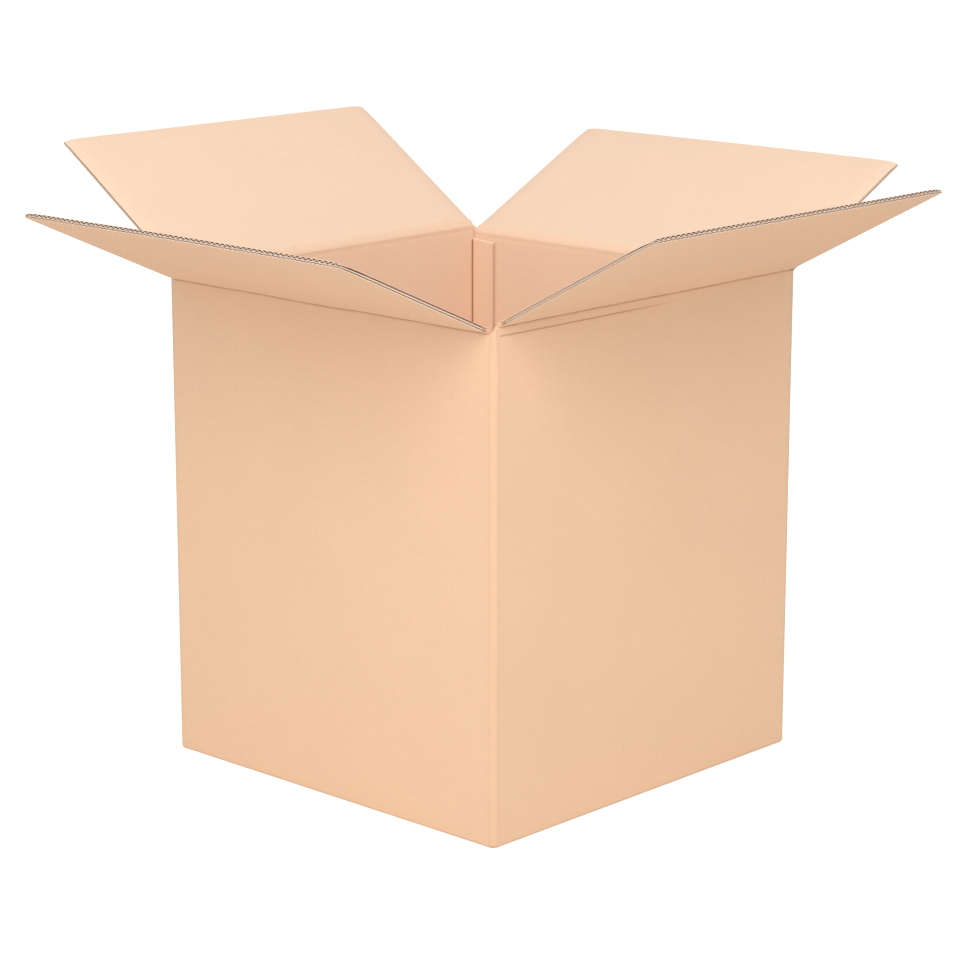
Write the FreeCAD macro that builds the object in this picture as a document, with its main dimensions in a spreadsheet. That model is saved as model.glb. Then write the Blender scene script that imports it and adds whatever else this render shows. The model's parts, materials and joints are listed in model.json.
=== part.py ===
import FreeCAD, Part
import math
import os

import Sketcher

# Open shipping carton of double-wall corrugated board, modelled in millimetres.
# The frame stands on the floor at the centre of the base, with +Z up.
# The front wall faces -Y, the right wall +X, the back wall +Y and the left wall -X.
# Flutes run upright in the walls and from the fold to the free edge in the flaps.

doc = FreeCAD.newDocument("open_carton")

DRIVING_SIZES = {
    "plan_width": (500, "outside width and depth of the square plan"),
    "lower_fold_height": (553, "floor to the fold of the front and back top flaps"),
    "board": (7, "thickness of the double-wall board"),
    "stack_clearance": (0.3, "gap between flaps that lie on each other"),
    "corner_radius": (8, "outside radius of an upright corner fold"),
    "inner_corner_radius": (1.5, "inside radius of an upright corner fold"),
    "slot_inset": (8.5, "from a wall's outer corner to the side edge of a flap"),
    "slot_overcut": (2, "depth of a slot below the lower fold"),
    "meeting_gap": (44, "gap between two opposite flaps when they are closed"),
    "fold_offset": (0.2, "flap's outer face to its fold line"),
    "fold_clearance": (0.45, "opening of the pressed V fold, measured along the flap"),
    "front_angle": (24, "front flap's rise above level as it stands open"),
    "right_angle": (28, "right flap's rise above level"),
    "back_angle": (27, "back flap's rise above level"),
    "left_angle": (34, "left flap's rise above level"),
    "tab_width": (35, "glue tab, from the back corner's fold to its free edge"),
    "tab_board": (4, "thickness of the glue tab, whose flutes are pressed flat"),
    "tab_drop": (9, "tab's top below the lower fold"),
    "tab_slope": (3, "fall of the tab's top from the corner to its free edge"),
    "tab_fold_radius": (5, "outside radius of the fold between the left wall and the tab"),
    "joint_gap": (0.8, "groove between the left wall and the back wall's cut edge"),
    "liner": (0.5, "thickness of each flat liner"),
    "medium": (0.5, "thickness of the fluted medium, measured along the board"),
    "coarse_height": (3.3, "height of the coarse flutes beside the inner liner"),
    "coarse_pitch": (7.8, "pitch of the coarse flutes"),
    "fine_pitch": (6.4, "pitch of the fine flutes beside the outer liner"),
    "flute_depth": (12, "depth to which the flutes stand open at a free edge"),
    "edge_gap_depth": (2.5, "depth of the gaps between the liners at a side edge"),
    "edge_gap_margin": (22, "from the ends of a side edge to the ends of its gaps"),
    "base_seam": (4, "gap between two opposite base flaps"),
    "base_fold_radius": (4, "outside radius of the folds round the base"),
}

WORKED_OUT_SIZES = {
    "half_width": "=plan_width / 2",
    "half_inside": "=half_width - board",
    "upper_fold_height": "=lower_fold_height + board + stack_clearance",
    "half_flap": "=half_width - slot_inset",
    "flap_length": "=half_width - meeting_gap / 2",
    "fine_height": "=board - 3 * liner - coarse_height",
    "outer_face": "=fold_offset",
    "inner_face": "=fold_offset + board",
    "slot_floor": "=lower_fold_height - slot_overcut",
    "coarse_count": "=floor((2 * half_flap - medium) / coarse_pitch)",
    "fine_count": "=floor((2 * half_flap - medium) / fine_pitch)",
}

SIZE_NAMES = set(DRIVING_SIZES) | set(WORKED_OUT_SIZES)
sizes = doc.addObject("Spreadsheet::Sheet", "Sizes")
rows = [(name, str(value), note) for name, (value, note) in DRIVING_SIZES.items()]
rows += [(name, formula, "worked out") for name, formula in WORKED_OUT_SIZES.items()]
for row, (name, content, note) in enumerate(rows, start=1):
    sizes.set("A%d" % row, name)
    sizes.set("B%d" % row, content)
    sizes.set("C%d" % row, note)
    sizes.setAlias("B%d" % row, name)
doc.recompute()


def bound(expression):
    """Write an expression in size names as one that reads the spreadsheet."""
    text = ""
    word = ""
    for letter in expression + " ":
        if letter.isalpha() or letter == "_":
            word += letter
            continue
        text += "Sizes." + word if word in SIZE_NAMES else word
        text += letter
        word = ""
    return text.strip()


def new_body(name):
    """Add one sub-part's body."""
    body = doc.addObject("PartDesign::Body", name)
    body.Label = name
    return body


def origin_part(body, role):
    """Find one plane or axis of a body's own origin."""
    return next(item for item in body.Origin.OriginFeatures if item.Role == role)


def new_sketch(body, name, role, offset="0"):
    """Add a sketch on an origin plane of its body, raised along the plane's normal."""
    sketch = body.newObject("Sketcher::SketchObject", name)
    sketch.AttachmentSupport = [(origin_part(body, role), "")]
    sketch.MapMode = "FlatFace"
    sketch.setExpression("AttachmentOffset.Base.z", bound(offset))
    return sketch


def add_outline(sketch, corners):
    """Draw a closed outline through corners, each a pair of expressions in size names."""
    count = len(corners)
    first = sketch.GeometryCount
    places = []
    for across, along in corners:
        places.append(FreeCAD.Vector(value_of(across), value_of(along), 0))
    for index in range(count):
        start, end = places[index], places[(index + 1) % count]
        sketch.addGeometry(Part.LineSegment(start, end), False)
    for index in range(count):
        line = first + index
        after = first + (index + 1) % count
        sketch.addConstraint(Sketcher.Constraint("Coincident", line, 2, after, 1))
    for index, (across, along) in enumerate(corners):
        line = first + index
        place = places[index]
        for kind, distance, expression in (("DistanceX", place.x, across), ("DistanceY", place.y, along)):
            number = sketch.addConstraint(Sketcher.Constraint(kind, -1, 1, line, 1, distance))
            sketch.setExpression("Constraints[%d]" % number, bound(expression))


def value_of(expression):
    """Work out an expression in size names with the spreadsheet's present values."""
    return float(sizes.evalExpression(bound(expression)))


def rectangle(left, right, low, high):
    """List a rectangle's corners from its four sides."""
    return [(left, low), (right, low), (right, high), (left, high)]


def add_pad(body, sketch, name, length, centred=False, backwards=False):
    """Raise a sketch into solid board."""
    pad = body.newObject("PartDesign::Pad", name)
    pad.Profile = sketch
    pad.setExpression("Length", bound(length))
    pad.Midplane = centred
    pad.Reversed = backwards
    doc.recompute()
    return pad


def add_pocket(body, sketch, name, length, centred=False, backwards=False):
    """Cut a sketch out of the board, and make sure that it removed something."""
    volume = body.Shape.Volume
    pocket = body.newObject("PartDesign::Pocket", name)
    pocket.Profile = sketch
    pocket.setExpression("Length", bound(length))
    pocket.Midplane = centred
    pocket.Reversed = backwards
    pocket.Refine = False
    doc.recompute()
    if pocket.Shape.isNull() or pocket.Shape.Volume >= volume:
        raise RuntimeError(name + " cuts nothing")
    return pocket


def add_mirror(body, feature, name, role):
    """Repeat a cut on the other side of an origin plane."""
    mirror = body.newObject("PartDesign::Mirrored", name)
    mirror.Originals = [feature]
    mirror.MirrorPlane = (origin_part(body, role), [""])
    body.Tip = mirror
    doc.recompute()
    return mirror


def add_row(body, feature, name, pitch, count):
    """Repeat a cut along the fold at one pitch."""
    row = body.newObject("PartDesign::LinearPattern", name)
    row.Originals = [feature]
    row.Direction = (origin_part(body, "X_Axis"), [""])
    row.setExpression("Length", bound("%s * (%s - 1)" % (pitch, count)))
    row.setExpression("Occurrences", bound(count))
    row.Refine = False
    body.Tip = row
    doc.recompute()
    return row


def add_fillet(body, name, radius, wanted):
    """Round the edges whose ends and middle pass a test."""
    base = body.Tip
    names = []
    for number, edge in enumerate(base.Shape.Edges, start=1):
        if wanted(edge):
            names.append("Edge%d" % number)
    if not names:
        raise RuntimeError(name + " finds no edge")
    fillet = body.newObject("PartDesign::Fillet", name)
    fillet.Base = (base, names)
    fillet.setExpression("Radius", bound(radius))
    doc.recompute()
    return fillet


def upright_at(*places):
    """Test whether an edge is upright and stands at one of some plan points."""
    def test(edge):
        box = edge.BoundBox
        if box.XLength > 0.01 or box.YLength > 0.01:
            return False
        return any(math.hypot(box.XMin - x, box.YMin - y) < 0.01 for x, y in places)
    return test


def lies_on_floor(edge):
    """Test whether an edge lies on the floor."""
    return edge.BoundBox.ZMax < 0.01


# The walls: one ring of board on a double floor, with its folds rounded.
carton = new_body("carton_body")
plan = new_sketch(carton, "plan", "XY_Plane")
add_outline(plan, rectangle("-half_width", "half_width", "-half_width", "half_width"))
add_pad(carton, plan, "walls", "upper_fold_height")
half_width = value_of("half_width")
half_inside = value_of("half_inside")
add_fillet(carton, "outside_folds", "corner_radius", upright_at(
    (-half_width, -half_width), (half_width, -half_width), (half_width, half_width)))
add_fillet(carton, "base_folds", "base_fold_radius", lies_on_floor)
inside = new_sketch(carton, "inside", "XY_Plane", "upper_fold_height")
add_outline(inside, rectangle("-half_inside", "half_inside", "-half_inside", "half_inside"))
add_pocket(carton, inside, "cavity", "upper_fold_height - 2 * board")

# The glue tab: the left wall goes on round the back corner and lies on the back wall's inner face.
# It is pressed thinner than the wall, so that the joint stands in less.
tab_outline = new_sketch(carton, "tab_outline", "XZ_Plane", "-half_inside")
add_outline(tab_outline, [
    ("-half_inside", "2 * board"),
    ("tab_width - half_inside", "2 * board"),
    ("tab_width - half_inside", "lower_fold_height - tab_drop - tab_slope"),
    ("-half_inside", "lower_fold_height - tab_drop"),
])
add_pad(carton, tab_outline, "tab", "tab_board")

# The joint: a slit parts the left wall's fold from the cut edge of the back wall.
slit_outline = new_sketch(carton, "slit_outline", "XY_Plane", "upper_fold_height")
add_outline(slit_outline, rectangle(
    "-half_width - board", "tab_fold_radius + joint_gap - half_width",
    "half_inside - joint_gap", "half_inside"))
add_pocket(carton, slit_outline, "joint_slit", "upper_fold_height")

tab_fold = half_inside - value_of("joint_gap")
add_fillet(carton, "tab_fold", "tab_fold_radius", upright_at((-half_width, tab_fold)))
add_fillet(carton, "inside_folds", "inner_corner_radius", upright_at(
    (-half_inside, -half_inside), (half_inside, -half_inside), (half_inside, half_inside)))

# The slots: each corner is cut down between two flaps to just below the lower fold.
slot_outline = new_sketch(carton, "slot_outline", "XY_Plane", "upper_fold_height")
for side in ("", "-"):
    for end in ("", "-"):
        add_outline(slot_outline, rectangle(
            side + "half_flap", side + "(half_width + board)",
            end + "half_flap", end + "(half_width + board)"))
add_pocket(carton, slot_outline, "slots", "upper_fold_height - slot_floor")

# The folds of the top flaps: the board is pressed to a V, so each wall's top slopes inward at 45
# degrees from its outer face. The front and back folds are lower by one board, because their
# flaps close first and the side flaps lie on them.
lower_fold_outline = new_sketch(carton, "lower_fold_outline", "YZ_Plane")
add_outline(lower_fold_outline, [
    ("-half_width - board", "lower_fold_height"),
    ("-half_width", "lower_fold_height"),
    ("-half_inside", "lower_fold_height - board"),
    ("board - half_inside", "lower_fold_height - board"),
    ("board - half_inside", "upper_fold_height + board"),
    ("-half_width - board", "upper_fold_height + board"),
])
front_fold = add_pocket(carton, lower_fold_outline, "front_fold", "2 * half_flap", centred=True)
add_mirror(carton, front_fold, "back_fold", "XZ_Plane")
upper_fold_outline = new_sketch(carton, "upper_fold_outline", "XZ_Plane")
add_outline(upper_fold_outline, [
    ("-half_width - board", "upper_fold_height"),
    ("-half_width", "upper_fold_height"),
    ("-half_inside", "upper_fold_height - board"),
    ("board - half_inside", "upper_fold_height - board"),
    ("board - half_inside", "upper_fold_height + board"),
    ("-half_width - board", "upper_fold_height + board"),
])
left_fold = add_pocket(carton, upper_fold_outline, "left_fold", "2 * half_flap", centred=True)
add_mirror(carton, left_fold, "right_fold", "YZ_Plane")

# The base: the side pair of flaps lies on the floor and the front and back pair on top of it.
# Both pairs are closed for good, so they are one solid with the walls, and each meets in a seam.
lower_seam = new_sketch(carton, "lower_seam_outline", "XY_Plane")
add_outline(lower_seam, rectangle("-base_seam / 2", "base_seam / 2", "-half_flap", "half_flap"))
add_pocket(carton, lower_seam, "lower_seam", "board", backwards=True)
upper_seam = new_sketch(carton, "upper_seam_outline", "XY_Plane", "2 * board")
add_outline(upper_seam, rectangle("-half_flap", "half_flap", "-base_seam / 2", "base_seam / 2"))
add_pocket(carton, upper_seam, "upper_seam", "board")

# The cut edge of the back wall at the joint shows the two gaps between its three liners.
wall_gaps = new_sketch(carton, "wall_gap_outline", "XY_Plane", "lower_fold_height - 2 * edge_gap_margin")
for low, high in (
    ("half_inside + liner", "half_inside + liner + coarse_height"),
    ("half_width - liner - fine_height", "half_width - liner"),
):
    add_outline(wall_gaps, rectangle("-half_width - board", "edge_gap_depth - half_width", low, high))
add_pocket(carton, wall_gaps, "joint_edge_gaps", "lower_fold_height - 3 * edge_gap_margin")

# The two rows of flutes in a flap: each starts at a depth from the fold's plane and has a height.
FINE_ROW = ("outer_face + liner", "fine_height")
COARSE_ROW = ("outer_face + 2 * liner + fine_height", "coarse_height")


def cell_outline(pitch, row, middle, upward):
    """List the corners of one flute's open end: a triangle that stands on one liner."""
    low, height = row
    half = "(%s - medium) / 2" % pitch
    rise = "%s * (1 - medium / %s)" % (height, pitch)
    foot, tip = low, "%s + %s" % (low, rise)
    if not upward:
        foot, tip = "%s + %s" % (low, height), "%s + %s - %s" % (low, height, rise)
    return [("%s - %s" % (middle, half), foot), ("%s + %s" % (middle, half), foot), (middle, tip)]


def build_flap(name, turn, fold_height, angle):
    """Build one flap in its own frame and set it on its fold.

    Its own frame has X along the fold, Y through the board from the outer face to the inner
    one and Z from the fold to the free edge. The fold line is the X axis.
    """
    flap = new_body(name)
    section = new_sketch(flap, name + "_section", "YZ_Plane")
    add_outline(section, [
        ("outer_face", "outer_face + fold_clearance"),
        ("inner_face", "inner_face + fold_clearance"),
        ("inner_face", "flap_length"),
        ("outer_face", "flap_length"),
    ])
    add_pad(flap, section, name + "_board", "2 * half_flap", centred=True)

    gaps = new_sketch(flap, name + "_gap_outline", "XY_Plane", "flap_length - edge_gap_margin")
    for side in ("", "-"):
        for low, height in (FINE_ROW, COARSE_ROW):
            add_outline(gaps, rectangle(
                side + "(half_flap - edge_gap_depth)", side + "(half_flap + board)",
                low, "%s + %s" % (low, height)))
    add_pocket(flap, gaps, name + "_edge_gaps", "flap_length - 2 * edge_gap_margin")

    fine = new_sketch(flap, name + "_fine_cell", "XY_Plane", "flap_length")
    first = "(1 - fine_count) * fine_pitch / 2"
    add_outline(fine, cell_outline("fine_pitch", FINE_ROW, first, True))
    flute = add_pocket(flap, fine, name + "_fine_flute", "flute_depth")
    add_row(flap, flute, name + "_fine_flutes", "fine_pitch", "fine_count")

    coarse = new_sketch(flap, name + "_coarse_cells", "XY_Plane", "flap_length")
    first = "(1 - coarse_count) * coarse_pitch / 2 - coarse_pitch / 4"
    add_outline(coarse, cell_outline("coarse_pitch", COARSE_ROW, first, True))
    add_outline(coarse, cell_outline("coarse_pitch", COARSE_ROW, first + " + coarse_pitch / 2", False))
    flute = add_pocket(flap, coarse, name + "_coarse_flute", "flute_depth")
    add_row(flap, flute, name + "_coarse_flutes", "coarse_pitch", "coarse_count")

    place = "create(<<vector>>; %s; %s; %s)" % (
        bound("half_width * sin(%d deg)" % turn),
        bound("-half_width * cos(%d deg)" % turn),
        bound(fold_height))
    attitude = "create(<<rotation>>; %d; 0; 90 - %s)" % (turn, bound(angle))
    flap.setExpression("Placement", "create(<<placement>>; %s; %s)" % (place, attitude))
    doc.recompute()
    return flap


FLAPS = (
    ("front_top_flap", 0, "lower_fold_height", "front_angle"),
    ("right_top_flap", 90, "upper_fold_height", "right_angle"),
    ("back_top_flap", 180, "lower_fold_height", "back_angle"),
    ("left_top_flap", 270, "upper_fold_height", "left_angle"),
)
subparts = [carton]
for name, turn, fold_height, angle in FLAPS:
    subparts.append(build_flap(name, turn, fold_height, angle))

doc.recompute()
for item in doc.Objects:
    if "Invalid" in item.State or "Error" in item.State:
        raise RuntimeError(item.Name + " failed to build")
for body in subparts:
    if body.Shape.isNull() or not body.Shape.isValid() or len(body.Shape.Solids) != 1:
        raise RuntimeError(body.Label + " isn't one valid solid")

os.makedirs("parts", exist_ok=True)
for body in subparts:
    body.Shape.exportStep("parts/%s.step" % body.Label)
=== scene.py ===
import json
import math

import bmesh
import bpy
import numpy as np
from mathutils import Euler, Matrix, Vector


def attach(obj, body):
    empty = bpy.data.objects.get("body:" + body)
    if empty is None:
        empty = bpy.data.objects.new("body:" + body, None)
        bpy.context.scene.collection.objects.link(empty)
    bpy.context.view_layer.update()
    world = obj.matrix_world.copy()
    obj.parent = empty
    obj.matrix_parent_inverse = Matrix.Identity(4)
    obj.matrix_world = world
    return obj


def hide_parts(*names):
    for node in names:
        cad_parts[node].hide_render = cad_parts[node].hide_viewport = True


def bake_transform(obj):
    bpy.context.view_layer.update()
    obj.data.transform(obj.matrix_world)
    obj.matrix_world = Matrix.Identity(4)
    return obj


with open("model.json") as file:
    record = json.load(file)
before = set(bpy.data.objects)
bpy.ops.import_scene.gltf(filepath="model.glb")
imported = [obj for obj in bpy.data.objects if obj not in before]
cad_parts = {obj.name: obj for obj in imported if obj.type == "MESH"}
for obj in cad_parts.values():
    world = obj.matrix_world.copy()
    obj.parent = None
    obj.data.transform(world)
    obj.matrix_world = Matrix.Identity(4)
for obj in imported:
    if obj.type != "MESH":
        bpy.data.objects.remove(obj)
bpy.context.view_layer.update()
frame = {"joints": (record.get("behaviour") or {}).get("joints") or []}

# The paper of the board. The whole carton is cut from one sheet of double-wall board, faced with
# kraft liners: brown paper, matt and fibrous, ridged by the flutes glued behind it. Along its folds
# it is darkened, partly as pressed paper and partly by painted shade, and paled by painted highlight.
MM = 0.001
COARSE_PITCH = 7.8 * MM
FINE_PITCH = 6.4 * MM
BUMP_HEIGHT = 0.06 * MM
OUTER_KRAFT = (235, 197, 163)
INNER_KRAFT = (247, 215, 188)
MEDIUM_KRAFT = (196, 160, 130)
EDGE_KRAFT = (245, 219, 198)
# The dark colour stands partly for pressed paper and partly for painted shade in creases and on cut edges;
# the pale colour paints highlights on the bends and pales the inside of the upright folds.
CREASE_AND_SHADE_KRAFT = (178, 122, 80)
PALING_AND_HIGHLIGHT_KRAFT = (252, 220, 188)


def linear(colour):
    """Turn a screen colour of three numbers up to 255 into the linear colour that a shader takes."""
    share = np.array(colour) / 255
    return (*np.where(share <= 0.04045, share / 12.92, ((share + 0.055) / 1.055) ** 2.4), 1)


def new_group(name, inputs, outputs):
    """Start a shader node group with named sockets, and return its tree with both end nodes."""
    tree = bpy.data.node_groups.new(name, "ShaderNodeTree")
    for label, kind, value in inputs:
        socket = tree.interface.new_socket(label, in_out="INPUT", socket_type=kind)
        if value is not None:
            socket.default_value = value
    for label, kind in outputs:
        tree.interface.new_socket(label, in_out="OUTPUT", socket_type=kind)
    return tree, tree.nodes.new("NodeGroupInput"), tree.nodes.new("NodeGroupOutput")


def add_node(tree, kind, **settings):
    """Add a node with its settings."""
    node = tree.nodes.new(kind)
    for name, value in settings.items():
        setattr(node, name, value)
    return node


def calculate(tree, operation, first, second):
    """Add a Math node between two sockets or numbers, and return its output."""
    node = add_node(tree, "ShaderNodeMath", operation=operation)
    for slot, source in enumerate((first, second)):
        if isinstance(source, bpy.types.NodeSocket):
            tree.links.new(source, node.inputs[slot])
        else:
            node.inputs[slot].default_value = source
    return node.outputs[0]


def noise_at(tree, vector, scale, detail, stretch=(1, 1, 1)):
    """Add a noise with scale features in each metre, stretched along the axes; return its value."""
    mapping = add_node(tree, "ShaderNodeMapping")
    mapping.inputs["Scale"].default_value = stretch
    noise = add_node(tree, "ShaderNodeTexNoise", noise_dimensions="3D")
    noise.inputs["Scale"].default_value = scale
    noise.inputs["Detail"].default_value = detail
    tree.links.new(vector, mapping.inputs["Vector"])
    tree.links.new(mapping.outputs["Vector"], noise.inputs["Vector"])
    return noise.outputs[0]


def make_fibre_group():
    """Pulp fibres: clouds from the felt, streaks along the web, and short dark and pale flecks."""
    tree, start, end = new_group(
        "pulp_fibres",
        [("Vector", "NodeSocketVector", None), ("Clouds", "NodeSocketFloat", 0.5),
         ("Flecks", "NodeSocketFloat", 0.5)],
        [("Tone", "NodeSocketFloat"), ("Height", "NodeSocketFloat")])
    vector = start.outputs["Vector"]
    cloud = noise_at(tree, vector, 9, 4)
    felt = noise_at(tree, vector, 160, 5)
    streak = noise_at(tree, vector, 260, 3, (0.16, 1, 1))
    fleck = noise_at(tree, vector, 900, 2, (0.3, 1, 1))
    dark = calculate(tree, "GREATER_THAN", fleck, 0.69)
    pale = calculate(tree, "LESS_THAN", fleck, 0.31)
    clouds = calculate(tree, "SUBTRACT", cloud, 0.5)
    clouds = calculate(tree, "MULTIPLY", clouds, start.outputs["Clouds"])
    grain = calculate(tree, "ADD", calculate(tree, "SUBTRACT", felt, 0.5),
                      calculate(tree, "SUBTRACT", streak, 0.5))
    flecks = calculate(tree, "SUBTRACT", pale, dark)
    flecks = calculate(tree, "MULTIPLY", flecks, start.outputs["Flecks"])
    tone = calculate(tree, "ADD", clouds, calculate(tree, "MULTIPLY", grain, 0.35))
    tone = calculate(tree, "ADD", tone, calculate(tree, "MULTIPLY", flecks, 0.3))
    tree.links.new(tone, end.inputs["Tone"])
    height = calculate(tree, "ADD", felt, calculate(tree, "MULTIPLY", streak, 0.7))
    tree.links.new(height, end.inputs["Height"])
    return tree


def make_washboard_group():
    """Washboard: the flutes behind a liner show through it as faint even ridges across the sheet."""
    tree, start, end = new_group(
        "washboard",
        [("Vector", "NodeSocketVector", None), ("Pitch", "NodeSocketFloat", 0.0064)],
        [("Ridge", "NodeSocketFloat")])
    parts = add_node(tree, "ShaderNodeSeparateXYZ")
    tree.links.new(start.outputs["Vector"], parts.inputs[0])
    turns = calculate(tree, "DIVIDE", parts.outputs["X"], start.outputs["Pitch"])
    wave = calculate(tree, "SINE", calculate(tree, "MULTIPLY", turns, 2 * math.pi), 0)
    fade = noise_at(tree, start.outputs["Vector"], 14, 2)
    tree.links.new(calculate(tree, "MULTIPLY", wave, fade), end.inputs["Ridge"])
    return tree


fibre_group = make_fibre_group()
washboard_group = make_washboard_group()


def make_kraft(name, colour, pitch, clouds, flecks, ridge):
    """Make kraft paper: matt, fibrous and ridged by the flutes, darkened by pressing and painted shade,
    and paled by painted highlight.
    """
    material = bpy.data.materials.new(name)
    material.use_nodes = True
    tree = material.node_tree
    shader = tree.nodes["Principled BSDF"]
    shader.inputs["Roughness"].default_value = 0.82
    shader.inputs["Specular IOR Level"].default_value = 0.25
    place = add_node(tree, "ShaderNodeUVMap", uv_map="board")
    fibres = add_node(tree, "ShaderNodeGroup", node_tree=fibre_group)
    fibres.inputs["Clouds"].default_value = clouds
    fibres.inputs["Flecks"].default_value = flecks
    ridges = add_node(tree, "ShaderNodeGroup", node_tree=washboard_group)
    ridges.inputs["Pitch"].default_value = pitch
    tree.links.new(place.outputs["UV"], fibres.inputs["Vector"])
    tree.links.new(place.outputs["UV"], ridges.inputs["Vector"])
    tone = calculate(tree, "ADD", fibres.outputs["Tone"],
                     calculate(tree, "MULTIPLY", ridges.outputs["Ridge"], ridge))
    bright = add_node(tree, "ShaderNodeHueSaturation")
    bright.inputs["Color"].default_value = linear(colour)
    value = calculate(tree, "ADD", calculate(tree, "MULTIPLY", tone, 0.16), 1)
    tree.links.new(value, bright.inputs["Value"])
    paper = bright.outputs["Color"]
    # Two attributes mix in the dark colour, pressed paper with painted shade, and the pale colour, painted
    # highlight.
    for label, shade in (("rubbed", PALING_AND_HIGHLIGHT_KRAFT), ("crease", CREASE_AND_SHADE_KRAFT)):
        amount = add_node(tree, "ShaderNodeAttribute", attribute_name=label)
        mark_mix = add_node(tree, "ShaderNodeMix", data_type="RGBA")
        tree.links.new(amount.outputs["Fac"], mark_mix.inputs["Factor"])
        tree.links.new(paper, mark_mix.inputs[6])
        mark_mix.inputs[7].default_value = linear(shade)
        paper = mark_mix.outputs[2]
    tree.links.new(paper, shader.inputs["Base Color"])
    bump = add_node(tree, "ShaderNodeBump")
    bump.inputs["Strength"].default_value = 0.35
    bump.inputs["Distance"].default_value = BUMP_HEIGHT
    height = calculate(tree, "ADD", fibres.outputs["Height"],
                       calculate(tree, "MULTIPLY", ridges.outputs["Ridge"], 1.6))
    tree.links.new(height, bump.inputs["Height"])
    tree.links.new(bump.outputs["Normal"], shader.inputs["Normal"])
    return material


outer_paper = make_kraft("outer_liner_kraft", OUTER_KRAFT, FINE_PITCH, 0.35, 0.5, 0.06)
inner_paper = make_kraft("inner_liner_kraft", INNER_KRAFT, COARSE_PITCH, 0.30, 0.45, 0.05)
medium_paper = make_kraft("fluted_medium_kraft", MEDIUM_KRAFT, COARSE_PITCH, 0.5, 0.8, 0)
edge_paper = make_kraft("cut_edge_kraft", EDGE_KRAFT, COARSE_PITCH, 0.5, 1.0, 0)
INNER_PATTERN_SHIFT = 0.37
SHARP_ANGLE = 0.7


def make_piece(name, shells):
    """Join closed shells of paper or board into one piece.

    A shell is a dict. outer and inner are (n, m, 3) grids of points that face away from each other,
    and the rim closes them. across and along are (n, m) grids of metres across and along the flutes,
    which place the paper's pattern. papers are the materials of the outer face, the inner face and
    the rim. Two more keys are 0 to 1 for the outer and the inner grid: the dark one marks pressed
    paper and painted shade, and the pale one pales the paper, mostly as a painted highlight.
    """
    points, faces, kinds, places, shades = [], [], [], [], {"crease": [], "rubbed": []}
    papers = []
    total = 0
    for shell in shells:
        n, m = shell["outer"].shape[:2]
        index = np.arange(n * m).reshape(n, m) + total
        quads = np.stack([index[:-1, :-1], index[1:, :-1], index[1:, 1:], index[:-1, 1:]], axis=-1)
        quads = quads.reshape(-1, 4)
        border = np.concatenate([index[:-1, 0], index[-1, :-1], index[:0:-1, -1], index[0, :0:-1]])
        after = np.roll(border, -1)
        rim = np.stack([after, border, border + n * m, after + n * m], axis=-1)
        slots = []
        for paper in shell["papers"]:
            if paper not in papers:
                papers.append(paper)
            slots.append(papers.index(paper))
        points += [shell["outer"].reshape(-1, 3), shell["inner"].reshape(-1, 3)]
        faces += [quads, quads[:, ::-1] + n * m, rim]
        kinds += [np.repeat(slots, [len(quads), len(quads), len(rim)])]
        place = np.stack([shell["across"].ravel(), shell["along"].ravel()], axis=-1)
        places += [place, place + INNER_PATTERN_SHIFT]
        for label, lists in shades.items():
            lists.append(np.broadcast_to(shell.get(label, 0.0), (2, n, m)).ravel())
        total += 2 * n * m
    points, faces, kinds, places = map(np.concatenate, (points, faces, kinds, places))
    mesh = bpy.data.meshes.new(name)
    mesh.from_pydata(points.tolist(), [], faces.tolist())
    for paper in papers:
        mesh.materials.append(paper)
    mesh.polygons.foreach_set("material_index", kinds.astype(np.int32))
    corner = np.zeros(len(mesh.loops), np.int32)
    mesh.loops.foreach_get("vertex_index", corner)
    uv_map = mesh.uv_layers.new(name="board")
    uv_map.data.foreach_set("uv", places[corner].astype(np.float32).ravel())
    for label, lists in shades.items():
        mesh.attributes.new(label, "FLOAT", "POINT").data.foreach_set(
            "value", np.concatenate(lists).astype(np.float32))
    mesh.polygons.foreach_set("use_smooth", np.ones(len(faces), bool))
    work = bmesh.new()
    work.from_mesh(mesh)
    bmesh.ops.recalc_face_normals(work, faces=work.faces)
    for edge in work.edges:
        edge.smooth = edge.calc_face_angle(4) < SHARP_ANGLE
    work.to_mesh(mesh)
    work.free()
    piece = bpy.data.objects.new(name, mesh)
    bpy.context.scene.collection.objects.link(piece)
    return piece


# The walls. One long strip of board goes from the glue tab round the left, front, right and back
# walls and ends at the back wall's cut edge. Its upright folds are pressed, so each corner is a
# narrow flattened band, and the walls bow a little between them.
HALF = 250 * MM
BOARD = 7 * MM
SLOT_INSET = 8.5 * MM
joints = {joint["name"]: joint for joint in frame["joints"]}
SIDES = ("front", "right", "back", "left")
FOLD_HEIGHT = [joints[side + "_fold"]["pos_m"][2] for side in SIDES]
FLAP_ANGLE = [math.radians(180 - joints[side + "_fold"]["range_deg"][1]) for side in SIDES]
LOWER_FOLD = FOLD_HEIGHT[0]
STRIP_SIDES = (3, 0, 1, 2)
STRIP_ORDER = (1, 2, 3, 0)
HALF_FLAP = HALF - SLOT_INSET
WALL_TOP = LOWER_FOLD - 12 * MM
SLOT_FLOOR = LOWER_FOLD - 2 * MM
CORNER_LEG = 8.3 * MM
INNER_LEG = 1.2 * MM
NEAR_NARROWING = 0.5
CORNER_CROWN = 0.24
BASE_FOLD = 4 * MM
WALL_BOW = (0.9 * MM, -0.8 * MM, 0.7 * MM, 0.6 * MM)
TAB_WIDTH = 35 * MM
TAB_BOARD = 2.4 * MM
TAB_TOP = LOWER_FOLD - 9 * MM
TAB_SLOPE = 3 * MM
TAB_CHAMFER = 2 * MM
TAB_LAP = HALF - BOARD - 0.8 * MM
TAB_OUTER_RADIUS = 5 * MM
TAB_INNER_RADIUS = 0.6 * MM
TAB_FOLD_WIDTH = 7 * MM
TAB_FOLD_LEG = 5.3 * MM
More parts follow.
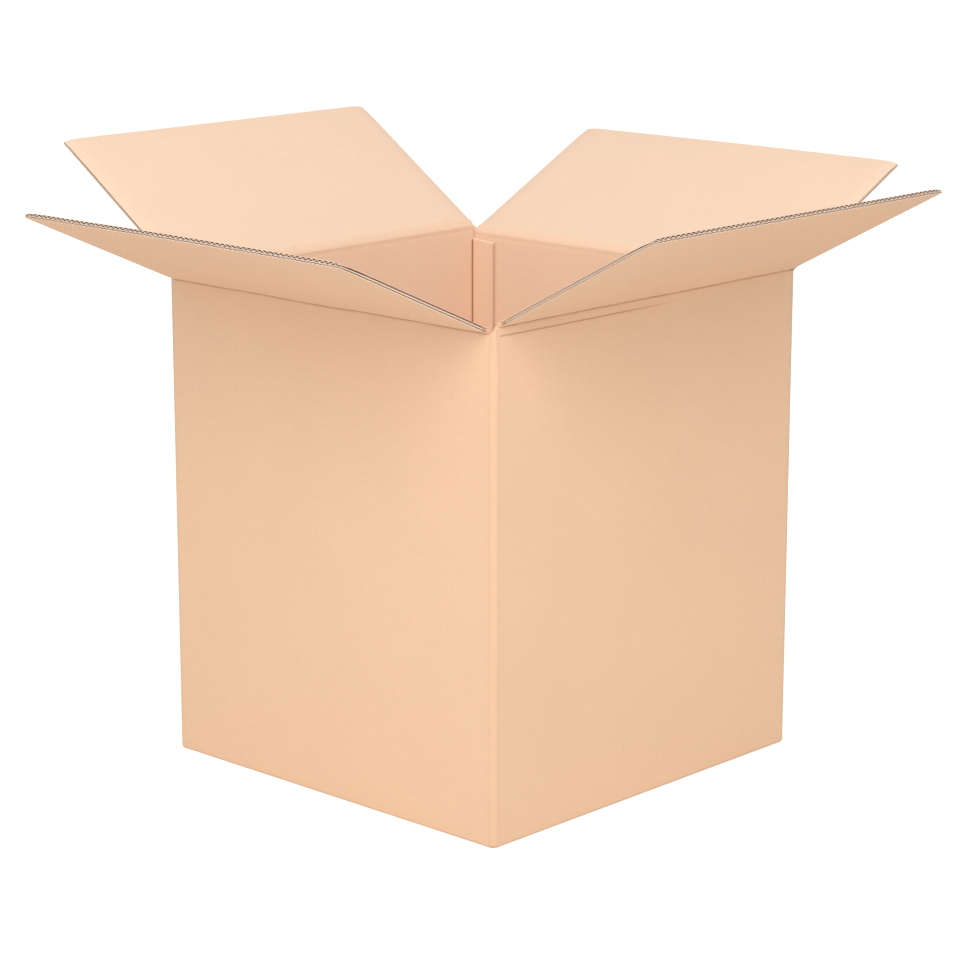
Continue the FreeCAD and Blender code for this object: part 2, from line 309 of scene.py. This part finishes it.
WALL_COLUMNS = 60


def smooth_step(value, low, high):
    """Rise from 0 at low to 1 at high along the cubic 3t^2 - 2t^3."""
    t = np.clip((value - low) / (high - low), 0, 1)
    return t * t * (3 - 2 * t)


def turned(side, along_wall, outward, height):
    """Place a point of one side: along the wall, out from the carton's centre, and up."""
    angle = math.radians(90 * side)
    x = along_wall * math.cos(angle) + outward * math.sin(angle)
    y = along_wall * math.sin(angle) - outward * math.cos(angle)
    return np.stack(np.broadcast_arrays(x, y, height), axis=-1)


def wall_column(side, place, rows, depth):
    """One upright line of a wall.

    The wall bulges by a squared cosine across its width times a sine up its height.
    """
    across = np.cos(np.pi * place / (2 * HALF)) ** 2
    bow = WALL_BOW[side] * across * np.sin(np.pi * np.clip(rows / WALL_TOP, 0, 1))
    return turned(side, place, HALF - depth * BOARD + bow, rows)


def corner_leg(side, rows, depth):
    """How far a fold's flattened band reaches from the sharp corner.

    The band at the camera's corner narrows along a smooth step at its top, where the slot ends.
    """
    leg = CORNER_LEG * (1 - depth) + INNER_LEG * depth
    narrowed = NEAR_NARROWING if side == 0 else 0.0
    return leg * (1 - narrowed * smooth_step(rows, WALL_TOP - 6 * MM, WALL_TOP + 3 * MM))


def corner_column(side, share, rows, depth):
    """One upright line of the pressed fold at a side's end, with share 0 to 1 round it.

    It is a chord across the corner, pushed out by a flat-topped curve of the fourth power.
    """
    leg = corner_leg(side, rows, depth)
    reach = HALF - depth * BOARD
    crown = CORNER_CROWN * leg * (1 - (2 * share - 1) ** 4)
    return turned(side, reach - leg + leg * share + crown, reach - leg * share + crown, rows)


def corner_columns(side, rows, depth):
    """The lines of the fold from one side to the next, with their places across the strip."""
    order = STRIP_ORDER[side] * 2 * HALF
    leg = corner_leg(side, rows, depth)
    lines = []
    flat = HALF - depth * BOARD - leg - HALF_FLAP
    flat_across = HALF - CORNER_LEG - HALF_FLAP
    for share in (0, 0.5):
        place = HALF_FLAP + flat * share
        across = order + HALF_FLAP + flat_across * share
        lines.append((across, wall_column(side, place, rows, depth)))
    for share in np.linspace(0, 1, 9):
        across = order + HALF - CORNER_LEG + 2 * CORNER_LEG * share
        lines.append((across, corner_column(side, share, rows, depth)))
    after = (side + 1) % 4
    for share in (0.5, 0):
        place = -HALF_FLAP - flat * share
        across = order + 2 * HALF - HALF_FLAP - flat_across * share
        lines.append((across, wall_column(after, place, rows, depth)))
    return lines


def tab_columns(rows, depth):
    """The lines of the glue tab, with its slanted top, and of its quarter-round fold to the left wall."""
    radius = TAB_OUTER_RADIUS * (1 - depth) + TAB_INNER_RADIUS * depth
    lap = TAB_LAP - TAB_BOARD * depth
    outside = HALF - depth * BOARD
    chamfer = TAB_CHAMFER * depth
    lines = []
    for share in (0, 0.02, 0.05, 0.2, 0.4, 0.6, 0.8, 0.93, 0.975):
        x = BOARD - HALF + TAB_WIDTH * (1 - share) + (radius - outside - BOARD + HALF) * share
        drop = (TAB_TOP - TAB_SLOPE * (1 - share) - chamfer) / WALL_TOP
        lines.append((-HALF - TAB_WIDTH * (1 - share), turned(0, x, -lap, rows * drop)))
    for turn in np.linspace(0, np.pi / 2, 7):
        x = radius * (1 - np.sin(turn)) - outside
        y = lap - radius * (1 - np.cos(turn))
        drop = 1 + ((TAB_TOP - chamfer) / WALL_TOP - 1) * (1 - turn / (np.pi / 2))
        lines.append((TAB_FOLD_WIDTH * turn / (np.pi / 2) - HALF, turned(0, x, -y, rows * drop)))
    return lines


def wall_strip(rows, depth):
    """All the lines of the strip from the tab to the cut edge, as a grid, and their places across."""
    lines = tab_columns(rows, depth)
    first = -TAB_LAP + TAB_FOLD_LEG
    for side in STRIP_SIDES:
        order = STRIP_ORDER[side] * 2 * HALF
        if side != 3:
            first = -HALF_FLAP
        last = HALF if side == 2 else HALF_FLAP
        for place in np.linspace(first, last, WALL_COLUMNS)[0 if side == 3 else 1:-1]:
            lines.append((order + place, wall_column(side, place, rows, depth)))
        if side != 2:
            lines += corner_columns(side, rows, depth)
    lines.append((STRIP_ORDER[2] * 2 * HALF + HALF, wall_column(2, HALF, rows, depth)))
    return np.stack([points for _, points in lines]), np.array([place for place, _ in lines])


def strip_shell(builder, rows, papers, tuck=None):
    """Make a shell of the outer and inner grids that a builder makes, tucked in towards the floor.

    The upright folds get a little painted shade outside and are paler inside, with soft edges. The
    tab's fold is dark as crease and painted shade, and its cut edge has painted shade on a bell curve.
    """
    outer, across = builder(rows, 0.0)
    inner, _ = builder(rows, 1.0)
    if tuck is not None:
        outer[..., :2] *= (1 - tuck / HALF)[None, :, None]
    across = np.repeat(across[:, None], len(rows), axis=1)
    corner = np.abs((across - HALF) % (2 * HALF))
    corner = np.minimum(corner, 2 * HALF - corner) / CORNER_LEG
    band = smooth_step(-corner, -1.1, -0.75) * (across > 0)
    margin = 0.2 * MM
    tab_fold = 1.0 * ((across > -HALF - margin) & (across < TAB_FOLD_WIDTH + margin - HALF))
    tab_end = 0.6 * np.exp(-(((across + HALF + TAB_WIDTH) / MM) ** 2))
    # Painted shade: the dark key darkens the corner bands outside, the tab's fold and its cut edge; the
    # pale key pales the corner bands inside.
    return {"outer": outer, "inner": inner, "across": across, "along": outer[..., 2],
            "papers": papers, "crease": np.stack([0.11 * band, np.maximum(tab_fold, tab_end)]),
            "rubbed": np.stack([0 * band, 0.3 * band])}


fold_turn = np.linspace(0.25, np.pi / 2, 6)
wall_rows = np.concatenate(
    [BASE_FOLD * (1 - np.cos(fold_turn))[:-1], np.linspace(BASE_FOLD, WALL_TOP, 44)])
fold_tuck = BASE_FOLD - np.sqrt(BASE_FOLD**2 - np.clip(BASE_FOLD - wall_rows, 0, None) ** 2)
board_papers = (outer_paper, inner_paper, inner_paper)
strip = strip_shell(wall_strip, wall_rows, board_papers, fold_tuck)
walls = make_piece("walls", [strip])
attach(walls, "carton")
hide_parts("carton_body")

# The corner posts. Between two top flaps a bit of wall stands up beside the slot, and its top runs
# from the height of the one fold to that of the other. It is cut with the walls, from the same board.
post_rows = np.linspace(WALL_TOP, SLOT_FLOOR, 5)
POST_SLANT = (0.45, 2.2, 1, 2.2)
POST_GAP = 1.2 * MM
CUT_END_RISE = 0.8


def post_builder(side):
    """Make the builder of one post, whose top goes from fold to fold by a power of its width.

    The post at the cut end of the back wall rises only part of the way to the left wall's fold.
    """
    def build(rows, depth):
        if side == 2:
            lines = [(2 * HALF + place, wall_column(2, place, rows, depth)) for place in (HALF_FLAP, HALF)]
        else:
            lines = corner_columns(side, rows, depth)
        grid = np.stack([points for _, points in lines])
        share = np.linspace(0, 1, len(lines)) ** POST_SLANT[side] * (CUT_END_RISE if side == 2 else 1)
        top = FOLD_HEIGHT[side] * (1 - share) + FOLD_HEIGHT[(side + 1) % 4] * share - POST_GAP
        rise = (grid[..., 2] - WALL_TOP) / (SLOT_FLOOR - WALL_TOP)
        grid[..., 2] = WALL_TOP + rise * (top[:, None] - WALL_TOP)
        return grid, np.array([place for place, _ in lines])
    return build


posts = [strip_shell(post_builder(side), post_rows, board_papers) for side in STRIP_SIDES]
corner_posts = make_piece("corner_posts", posts)
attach(corner_posts, "carton")
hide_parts("carton_body")

# The base. Four flaps are folded in and glued: the left and right pair lies on the floor and meets
# along one seam, and the front and back pair lies on it and meets along the other.
SEAM = 2 * MM
BASE_GAP = 0.5 * MM


def base_shell(side, reach, width, low):
    """One base flap as a flat slab of board from its wall to the seam, at the height low."""
    out, wide = np.meshgrid(
        np.linspace(reach, SEAM, 12), np.linspace(-width, width, 12), indexing="ij")
    return {"outer": turned(side, wide, out, low), "inner": turned(side, wide, out, low + BOARD),
            "across": STRIP_ORDER[side] * 2 * HALF + wide, "along": out - HALF,
            "papers": board_papers}


base_flaps = make_piece("base_flaps", [
    base_shell(1, HALF - BASE_FOLD, HALF - BASE_FOLD, 0.0),
    base_shell(3, HALF - BASE_FOLD, HALF - BASE_FOLD, 0.0),
    base_shell(0, HALF - BOARD, HALF - BOARD - BASE_GAP, BOARD),
    base_shell(2, HALF - BOARD, HALF - BOARD - BASE_GAP, BOARD)])
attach(base_flaps, "carton")
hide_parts("carton_body")

# The folds of the top flaps. Each is the bit of board that bends between a wall and its flap: the
# outer liner is pressed into a sharp crease on the hinge line, and the inner liner rounds it, with
# the mark of the scoring wheel below the bend.
FOLD_ABOVE = 10 * MM
LAYER_HEIGHTS = np.array([0.6, 1.9, 0.8, 3.2, 0.5]) * MM
LAYERS = np.concatenate([[0], np.cumsum(LAYER_HEIGHTS)]) / BOARD
GAP_DEPTH = 2.5 * MM
FLAP_LENGTH = 228 * MM
CREASE_WAVE = (0.8 * MM, 0.35 * MM, 0.3 * MM, 0.3 * MM)
# Painted marks on the folds: the crease tone, also on the right wall's second crease, is partly pressed
# paper and partly painted shade; the score tone is the wheel's mark with painted shade in its groove; the
# band tone paints pale highlights where the bends catch the light.
CREASE_SHADE_TONE = (0.62, 0.7, 0.6, 0.6)
SCORE_SHADE_TONE = (0.15, 0.15, 0.05, 0.15)
BAND_HIGHLIGHT_TONE = (0.3, 0.3, 0.65, 0.5)
SCORE_DEPTH = (0.3 * MM, 0.3 * MM, 0.12 * MM, 0.2 * MM)
SIDE_PRESS = (0.26, 0.42, 0.45, 0.45)
SIDE_PRESS_REACH = 7 * MM
FREE_PRESS = 0.2
FREE_PRESS_REACH = 8 * MM
DENT = 1.1 * MM
INNER_BEND = 3.2 * MM
SCORE_DROP = 4.5 * MM
SECOND_DROP = 9.7 * MM
SECOND_DENT = 0.5 * MM
FOLD_ROWS = MM * np.array(
    [-11.2, -10.4, -10, -9.7, -9.4, -9, -8, -6.8, -5.8, -5.2, -4.6, -4, -3.2, -2.4, -1.7,
     -1.1, -0.6, -0.25, 0, 0.25, 0.6, 1.1, 1.7, 2.6, 3.8, 5, 6.5, 8, 10])
BLEND_REACH = 4 * MM


def wander(place, seed, reach):
    """Sum four sines of falling size and rising pitch: a smooth uneven line within about 1."""
    total = np.zeros_like(place)
    draw = np.random.default_rng(seed)
    for octave in range(4):
        pitch = reach / 1.9**octave
        total += np.sin(2 * np.pi * (place / pitch + draw.random())) / 1.6**octave
    return total / 2.2


def thinning(side, place, reach):
    """The share of the board's thickness that is left: the knives pressed its cut edges thinner.

    It falls along exponentials towards the side edges and the free edge.
    """
    side_edge = np.exp(-(HALF_FLAP - np.abs(place)) / SIDE_PRESS_REACH)
    side_edge = side_edge * smooth_step(reach, -2 * MM, 6 * MM)
    free_edge = np.exp(-(FLAP_LENGTH - reach) / FREE_PRESS_REACH)
    return 1 - SIDE_PRESS[side] * side_edge - FREE_PRESS * free_edge


def second_crease(place, reach):
    """The right wall's second crease, 9.7 mm below the first, which fades away from the front corner."""
    fade = smooth_step(-place, -60 * MM, 60 * MM)
    return fade * np.exp(-(((reach + SECOND_DROP) / (0.7 * MM)) ** 2))


def fold_section(side, place, reach):
    """The outer and inner line of a fold, in metres out from the hinge line and up from it.

    reach runs from below zero, down the wall, to 10 mm, out on the flap. The outer line is the corner of
    wall and flap, dented by a bell curve at the hinge line. The inner line follows the wall to 3.2 mm
    below the hinge, then a cubic curve to 3.2 mm out on the flap.
    """
    angle = FLAP_ANGLE[side]
    way = np.array([math.cos(angle), math.sin(angle)])
    normal = np.array([-math.sin(angle), math.cos(angle)])
    wall_way = np.array([0.0, 1.0])
    wall_normal = np.array([-1.0, 0.0])
    inward = (wall_normal + normal) / np.linalg.norm(wall_normal + normal)
    step = np.where((reach < 0)[..., None], reach[..., None] * wall_way, reach[..., None] * way)
    wave = CREASE_WAVE[side] * wander(place, side + 5, 0.31) * np.exp(-((reach / (5 * MM)) ** 2))
    dent = DENT * np.exp(-((reach / (1.0 * MM)) ** 2))
    outer = step + dent[..., None] * inward + wave[..., None] * wall_way
    if side == 1:
        second = second_crease(place, reach)
        outer = outer + SECOND_DENT * second[..., None] * wall_normal
    bend = INNER_BEND
    t = np.clip((reach + bend) / (2 * bend), 0, 1)[..., None]
    corners = (wall_normal * BOARD - wall_way * bend, wall_normal * BOARD - wall_way * 0.35 * bend,
               normal * BOARD + way * 0.35 * bend, normal * BOARD + way * bend)
    curve = ((1 - t) ** 3 * corners[0] + 3 * t * (1 - t) ** 2 * corners[1]
             + 3 * t**2 * (1 - t) * corners[2] + t**3 * corners[3])
    inner = curve + np.clip(reach + bend, None, 0)[..., None] * wall_way
    inner = inner + np.clip(reach - bend, 0, None)[..., None] * way
    score = SCORE_DEPTH[side] * np.exp(-(((reach + SCORE_DROP) / (1.2 * MM)) ** 2))
    inner = inner - score[..., None] * wall_normal
    return outer, outer + (inner - outer) * thinning(side, place, reach)[..., None]


def fold_shell(side, start, end, inset, columns, papers):
    """One layer of a fold between two shares of its thickness, drawn in at its sides by inset.

    Its marks are bell curves across the fold: the dark crease, partly pressed and partly painted shade,
    the wheel's mark with painted shade, and pale bands of painted highlight.
    """
    foot = np.linspace(WALL_TOP - FOLD_HEIGHT[side], FOLD_ROWS[0], 7)[:-1]
    place, reach = np.meshgrid(np.linspace(-HALF_FLAP, HALF_FLAP, columns),
                               np.concatenate([foot, FOLD_ROWS]), indexing="ij")
    place = place * (1 - inset / HALF_FLAP * smooth_step(reach, 0.5 * MM, 5 * MM))
    outer, inner = fold_section(side, place, reach)
    surfaces = []
    for share in (start, end):
        line = outer * (1 - share) + inner * share
        surfaces.append(turned(side, place, HALF + line[..., 0], FOLD_HEIGHT[side] + line[..., 1]))
    crease = CREASE_SHADE_TONE[side] * np.exp(-((reach / (0.9 * MM)) ** 2))
    crease = crease * (0.8 + 0.25 * wander(place, side + 11, 0.09))
    if side == 1:
        crease = np.maximum(crease, 0.7 * second_crease(place, reach))
    mark = SCORE_SHADE_TONE[side] * np.exp(-(((reach + SCORE_DROP) / (2 * MM)) ** 2))
    mark = mark * (0.8 + 0.35 * wander(place, side, 0.2))
    pale = BAND_HIGHLIGHT_TONE[side] * np.exp(-(((reach + 9 * MM) / (2 * MM)) ** 2))
    pale = pale + 0.4 * BAND_HIGHLIGHT_TONE[side] * np.exp(-((reach / (1.5 * MM)) ** 2))
    return {"outer": surfaces[0], "inner": surfaces[1], "across": STRIP_ORDER[side] * 2 * HALF + place,
            "along": FOLD_HEIGHT[side] + reach, "papers": papers,
            "crease": np.clip(np.stack([crease, mark]), 0, 1), "rubbed": np.stack([0 * pale, pale])}


for side, name in enumerate(SIDES):
    filler_papers = (medium_paper, medium_paper, outer_paper)
    shells = [fold_shell(side, LAYERS[0], LAYERS[1], 0, 121, (outer_paper, medium_paper, outer_paper)),
              fold_shell(side, LAYERS[1], LAYERS[2], GAP_DEPTH, 41, filler_papers),
              fold_shell(side, LAYERS[2], LAYERS[3], 0, 41, filler_papers),
              fold_shell(side, LAYERS[3], LAYERS[4], GAP_DEPTH, 41, filler_papers),
              fold_shell(side, LAYERS[4], LAYERS[5], 0, 121, (medium_paper, inner_paper, inner_paper))]
    fold = make_piece(name + "_fold_board", shells)
    angle = FLAP_ANGLE[side]
    low_point = turned(side, 0.0, HALF - BOARD / 2, FOLD_HEIGHT[side] - BLEND_REACH)
    high_point = turned(
        side, 0.0, HALF - BOARD / 2 * math.sin(angle) + BLEND_REACH * math.cos(angle),
        FOLD_HEIGHT[side] + BOARD / 2 * math.cos(angle) + BLEND_REACH * math.sin(angle))
    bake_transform(fold)
    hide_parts("carton_body", name + "_top_flap")

# The top flaps. Three flat liners hold two rows of flutes, which run from the hinge to the free
# edge, so the free edge shows their waves and the side edges show the long hollows between.
FLUTE_PHASE = ((0.3, math.pi + 0.3), (0.3, 1.45), (1.2, 1.6), (1.2, 1.6))
FLAP_CUP = (1.0 * MM, -0.35 * MM, 1.0 * MM, -0.35 * MM)
FINE_MEDIUM = 0.6 * MM
COARSE_MEDIUM = 0.9 * MM
KNIFE_WAVER = 0.25 * MM
FLUTE_INSET = 0.3 * MM
FLUTE_SHORT = 0.5 * MM
LINES_PER_FLUTE = 9


def flap_point(side, place, reach, depth):
    """A point of a flap: along its hinge, out from it, and in from its outer face, all in metres.

    The board is cupped by the square of its reach past the fold, most in its middle by a parabola,
    and a little unevenly. The front and back flaps cup inward and the side flaps outward, so they
    still lie on each other when all are closed.
    """
    share = np.clip((reach - FOLD_ABOVE) / (FLAP_LENGTH - FOLD_ABOVE), 0, 1)
    uneven = 0.2 * (1 + wander(place, side + 20, 0.4))
    lift = FLAP_CUP[side] * (0.8 * (1 - (place / HALF_FLAP) ** 2) + uneven) * share**2
    angle = FLAP_ANGLE[side]
    up = depth * thinning(side, place, reach) + lift
    return turned(side, place, HALF + reach * math.cos(angle) - up * math.sin(angle),
                  FOLD_HEIGHT[side] + reach * math.sin(angle) + up * math.cos(angle))


def liner_shell(side, start, end, papers):
    """A flat liner between two depths. Its free edge wavers a little where the knife cut it."""
    place, share = np.meshgrid(
        np.linspace(-HALF_FLAP, HALF_FLAP, 61), np.linspace(0, 1, 16), indexing="ij")
    edge = FLAP_LENGTH - KNIFE_WAVER * (1 + wander(place, side + 31, 0.05))
    reach = FOLD_ABOVE + (edge - FOLD_ABOVE) * share
    return {"outer": flap_point(side, place, reach, start), "inner": flap_point(side, place, reach, end),
            "across": STRIP_ORDER[side] * 2 * HALF + place, "along": FOLD_HEIGHT[side] + reach,
            "papers": papers}


def flute_shell(side, start, end, pitch, phase, medium):
    """A fluted medium: a cosine wave across the flap between two depths, drawn out along the flap."""
    width = HALF_FLAP - FLUTE_INSET
    count = int(2 * HALF_FLAP / pitch * LINES_PER_FLUTE)
    place, reach = np.meshgrid(
        np.linspace(-width, width, count),
        np.linspace(FOLD_ABOVE, FLAP_LENGTH - FLUTE_SHORT, 6), indexing="ij")
    wave = 0.5 * (end - start - medium) * np.cos(2 * np.pi * (place + HALF_FLAP) / pitch + phase)
    centre = 0.5 * (start + end) + wave
    return {"outer": flap_point(side, place, reach, centre - medium / 2),
            "inner": flap_point(side, place, reach, centre + medium / 2),
            "across": STRIP_ORDER[side] * 2 * HALF + place, "along": FOLD_HEIGHT[side] + reach,
            "papers": (medium_paper, medium_paper, edge_paper)}


for side, name in enumerate(SIDES):
    depths = LAYERS * BOARD
    shells = [liner_shell(side, depths[0], depths[1], (outer_paper, medium_paper, edge_paper)),
              flute_shell(side, depths[1], depths[2], FINE_PITCH, FLUTE_PHASE[side][0], FINE_MEDIUM),
              liner_shell(side, depths[2], depths[3], (medium_paper, medium_paper, edge_paper)),
              flute_shell(side, depths[3], depths[4], COARSE_PITCH, FLUTE_PHASE[side][1], COARSE_MEDIUM),
              liner_shell(side, depths[4], depths[5], (medium_paper, inner_paper, edge_paper))]
    board = make_piece(name + "_flap_board", shells)
    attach(board, name + "_flap")
    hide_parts(name + "_top_flap")

# The floor, the light and the camera. White paper on the floor under an even, soft light, seen by a
# long lens from above the front corner. The camera sees the world and the floor as white paper, and
# the floor keeps the carton's soft shadow.
FLOOR_REACH = 30
FLOOR_BOUNCE = 0.92
FLOOR_GLOW = 0.40
WORLD_LIGHT = 0.66
floor_mesh = bpy.data.meshes.new("floor")
floor_corners = [(-FLOOR_REACH, -FLOOR_REACH, 0), (FLOOR_REACH, -FLOOR_REACH, 0),
                 (FLOOR_REACH, FLOOR_REACH, 0), (-FLOOR_REACH, FLOOR_REACH, 0)]
floor_mesh.from_pydata(floor_corners, [], [(0, 1, 2, 3)])
floor = bpy.data.objects.new("floor", floor_mesh)
bpy.context.scene.collection.objects.link(floor)
floor_paper = bpy.data.materials.new("floor_paper")
floor_paper.use_nodes = True
floor_shader = floor_paper.node_tree.nodes["Principled BSDF"]
floor_shader.inputs["Roughness"].default_value = 1
floor_shader.inputs["Specular IOR Level"].default_value = 0
floor_tree = floor_paper.node_tree
floor_seen = add_node(floor_tree, "ShaderNodeLightPath")
floor_tone = add_node(floor_tree, "ShaderNodeMix", data_type="RGBA")
floor_tree.links.new(floor_seen.outputs["Is Camera Ray"], floor_tone.inputs["Factor"])
floor_tone.inputs[6].default_value = (FLOOR_BOUNCE, FLOOR_BOUNCE, FLOOR_BOUNCE, 1)
floor_tone.inputs[7].default_value = (1, 1, 1, 1)
floor_tree.links.new(floor_tone.outputs[2], floor_shader.inputs["Base Color"])
floor_shader.inputs["Emission Color"].default_value = (1, 1, 1, 1)
floor_glow = calculate(floor_tree, "MULTIPLY", floor_seen.outputs["Is Camera Ray"], FLOOR_GLOW)
floor_tree.links.new(floor_glow, floor_shader.inputs["Emission Strength"])
floor_mesh.materials.append(floor_paper)

world = bpy.data.worlds.new("studio")
bpy.context.scene.world = world
world.use_nodes = True
sky_tree = world.node_tree
sky = sky_tree.nodes["Background"]
sky_seen = add_node(sky_tree, "ShaderNodeLightPath")
sky_level = add_node(sky_tree, "ShaderNodeMix", data_type="FLOAT")
seen = calculate(sky_tree, "MAXIMUM", sky_seen.outputs["Is Camera Ray"],
                 sky_seen.outputs["Is Glossy Ray"])
seen = calculate(sky_tree, "MAXIMUM", seen, sky_seen.outputs["Is Transmission Ray"])
sky_tree.links.new(seen, sky_level.inputs["Factor"])
sky_level.inputs[2].default_value = WORLD_LIGHT
sky_level.inputs[3].default_value = 1.0
sky.inputs["Color"].default_value = (1, 1, 1, 1)
sky_tree.links.new(sky_level.outputs[0], sky.inputs["Strength"])

LAMP_PLACE = Vector((2.06, -2.46, 2.66))
LAMP_TARGET = Vector((0, 0, 0.45))
lamp = bpy.data.lights.new("camera_side_softbox", "AREA")
lamp.size = 2.6
lamp.energy = 83
lamp_holder = bpy.data.objects.new("camera_side_softbox", lamp)
bpy.context.scene.collection.objects.link(lamp_holder)
lamp_holder.location = LAMP_PLACE
lamp_holder.rotation_euler = (LAMP_TARGET - LAMP_PLACE).to_track_quat("-Z", "Y").to_euler()

camera_data = bpy.data.cameras.new("camera")
camera = bpy.data.objects.new("camera", camera_data)
bpy.context.scene.collection.objects.link(camera)
bpy.context.scene.camera = camera
PHOTO_SIDE = 960
FOCAL_PIXELS = 3061.5
CAMERA_PITCH = 13.482
CAMERA_YAW = 43.2415
camera_data.sensor_width = 36
camera_data.lens = camera_data.sensor_width * FOCAL_PIXELS / PHOTO_SIDE
camera_data.clip_end = 100
camera.location = (2.3323, -2.4853, 1.1345)
camera.rotation_euler = Euler((math.radians(90 - CAMERA_PITCH), 0, math.radians(CAMERA_YAW)))

bpy.context.scene.view_settings.view_transform = "Standard"
